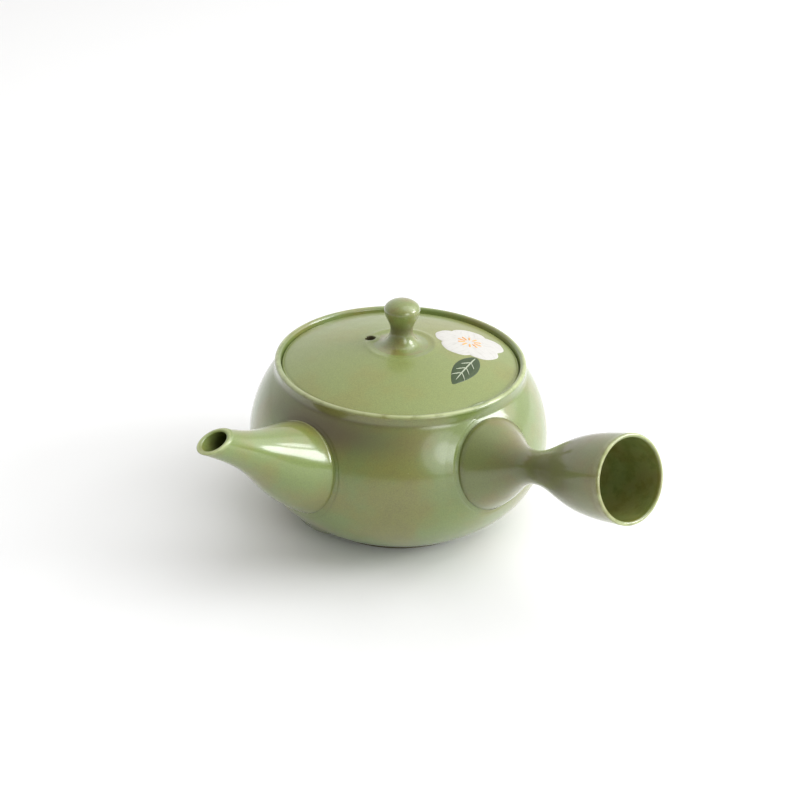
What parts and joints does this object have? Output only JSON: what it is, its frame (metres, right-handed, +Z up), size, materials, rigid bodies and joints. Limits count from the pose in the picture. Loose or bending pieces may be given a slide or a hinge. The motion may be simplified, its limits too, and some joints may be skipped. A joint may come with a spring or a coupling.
{
  "type": "side handled teapot",
  "caption": "Squat ceramic teapot with a hollow side handle, a short angled spout, a lift-off domed lid with a round knob, and a strainer inside.",
  "frame": {"origin": "centre of the flat underside of the foot, on the surface that the teapot stands on", "axes": "+Z up through the lid's knob; -Y along the handle, away from the bowl; -X towards the spout, which stands 80 degrees round from the handle"},
  "size_m": [0.1619, 0.1864, 0.0891],
  "materials": {
    "body_clay": "satin burnished olive-green stoneware with faint brown mottling, fine grain and paler worn edges",
    "lid_clay": "the same clay, slightly paler and more matt, with a painted white blossom, orange stamens and a dark green leaf",
    "strainer_clay": "unpolished matt clay, pierced with small round holes"
  },
  "bodies": {
    "pot": {"pot_body": "body_clay", "spout": "body_clay", "handle": "body_clay", "strainer": "strainer_clay"},
    "lid": {"lid": "lid_clay", "lid_knob": "lid_clay"}
  },
  "joints": [
    {"name": "lid_lift", "type": "slide", "parent": "pot", "child": "lid", "axis": [0, 0, 1], "range_m": [0, 0.06]}
  ]
}
